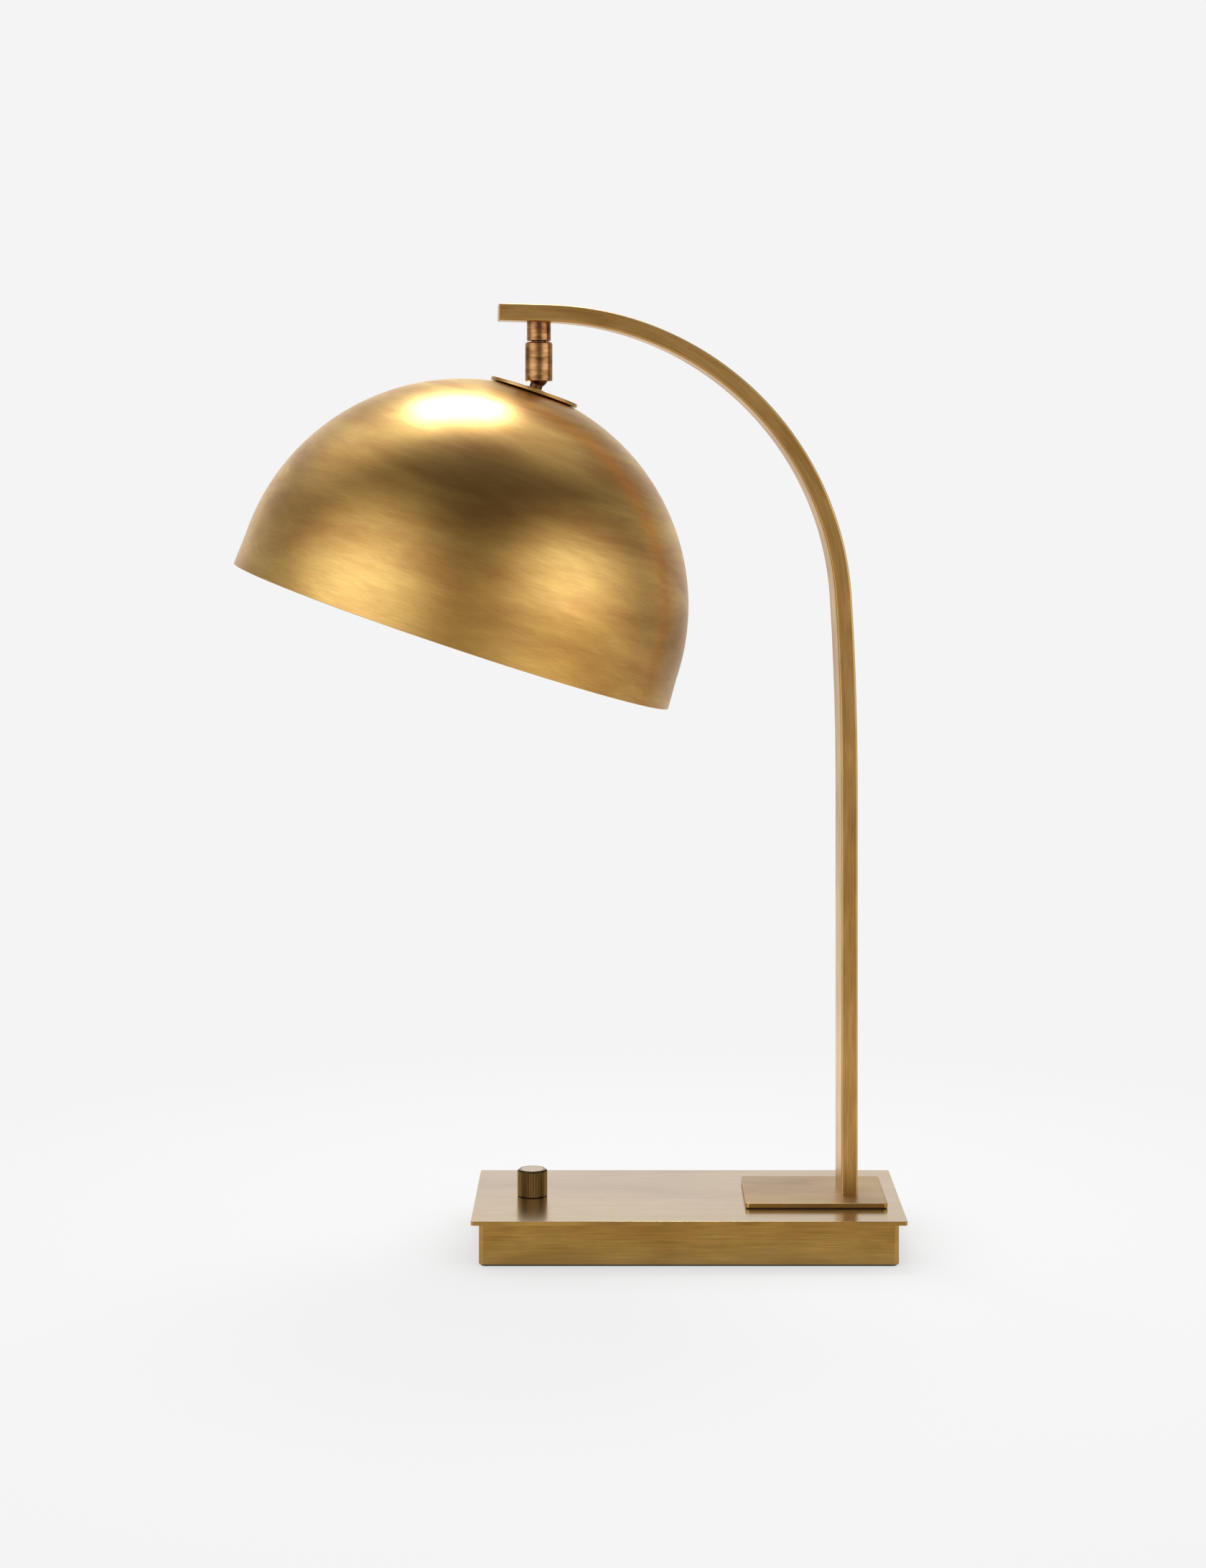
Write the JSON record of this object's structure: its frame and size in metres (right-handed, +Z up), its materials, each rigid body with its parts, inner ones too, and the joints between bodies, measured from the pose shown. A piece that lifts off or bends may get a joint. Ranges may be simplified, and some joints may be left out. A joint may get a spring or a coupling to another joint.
{
  "type": "dome shade desk lamp",
  "caption": "Desk lamp with a tilting dome shade hung from an arched rectangular arm on a weighted rectangular base with a dimmer knob.",
  "frame": {"origin": "centre of the base's underside, on the resting surface", "axes": "+Z up, +X along the base toward the post, +Y to the back of the base"},
  "size_m": [0.3964, 0.2719, 0.5627],
  "materials": {
    "base_brass": "satin, horizontally brushed",
    "plate_brass": "satin",
    "arm_brass": "satin, brushed lengthwise",
    "shade_brass": "satin, spun and brushed around the axis",
    "disk_brass": "satin, turned",
    "swivel_brass": "satin, turned",
    "knob_brass": "antique, satin",
    "stem_copper": "dark copper, satin",
    "steel": "zinc plated",
    "cover_steel": "black painted",
    "iron": "as cast, painted",
    "felt": "black felt",
    "gasket": "dark",
    "black_plastic": "moulded",
    "porcelain": "glazed white",
    "liner": "pressed fibre",
    "thread_brass": "bright",
    "lead": "insulated wire",
    "bulb_glass": "frosted white",
    "bulb_metal": "pressed, threaded"
  },
  "bodies": {
    "base": {"base_housing": "base_brass", "top_plate": "plate_brass", "bottom_cover": "cover_steel", "felt_pad": "felt", "cover_posts": "steel", "cover_screws": "steel", "ballast_block": "iron", "ballast_screws": "steel", "foot_plate": "plate_brass", "foot_gasket": "gasket", "clamp_plate": "steel", "cord_bushing": "black_plastic", "terminal_block": "black_plastic", "link_lead": "lead", "dimmer_body": "black_plastic", "dimmer_bushing": "thread_brass", "dimmer_nut": "steel", "arm_tube": "arm_brass", "arm_end_plug": "arm_brass", "post_block": "steel", "post_screws": "steel", "arm_lead": "lead", "swivel_collar": "swivel_brass", "arm_nipple": "steel", "friction_washer": "gasket", "retaining_nut": "steel"},
    "swivel": {"swivel_barrel": "swivel_brass", "barrel_plug": "steel", "stop_pin": "steel", "spacer_sleeve": "steel", "disc_spring": "steel", "ball_seat": "black_plastic"},
    "head": {"ball_stem": "stem_copper", "lock_ring": "disk_brass", "cap_disk": "disk_brass", "dome_shade": "shade_brass", "crown_washer": "steel", "crown_nut": "steel", "head_lead": "lead", "socket_cap": "swivel_brass", "socket_shell": "swivel_brass", "socket_core": "porcelain", "socket_liner": "liner", "screw_shell": "thread_brass", "centre_contact": "thread_brass", "bulb_base": "bulb_metal", "bulb_glass": "bulb_glass"},
    "knob": {"dimmer_knob": "knob_brass", "knob_grub": "steel", "dimmer_shaft": "steel"}
  },
  "joints": [
    {"name": "socket_swivel", "type": "hinge", "parent": "base", "child": "swivel", "pos_m": [-0.08873, -0.01455, 0.5186], "axis": [0, 0, 1], "range_deg": [-130, 130]},
    {"name": "shade_tilt", "type": "hinge", "parent": "swivel", "child": "head", "pos_m": [-0.08873, -0.01455, 0.5186], "axis": [-0.0785, 0.9969, 0], "range_deg": [-33, 6]},
    {"name": "dimmer_turn", "type": "hinge", "parent": "base", "child": "knob", "pos_m": [-0.093, 0, 0.035], "axis": [0, 0, -1], "range_deg": [0, 270]}
  ]
}
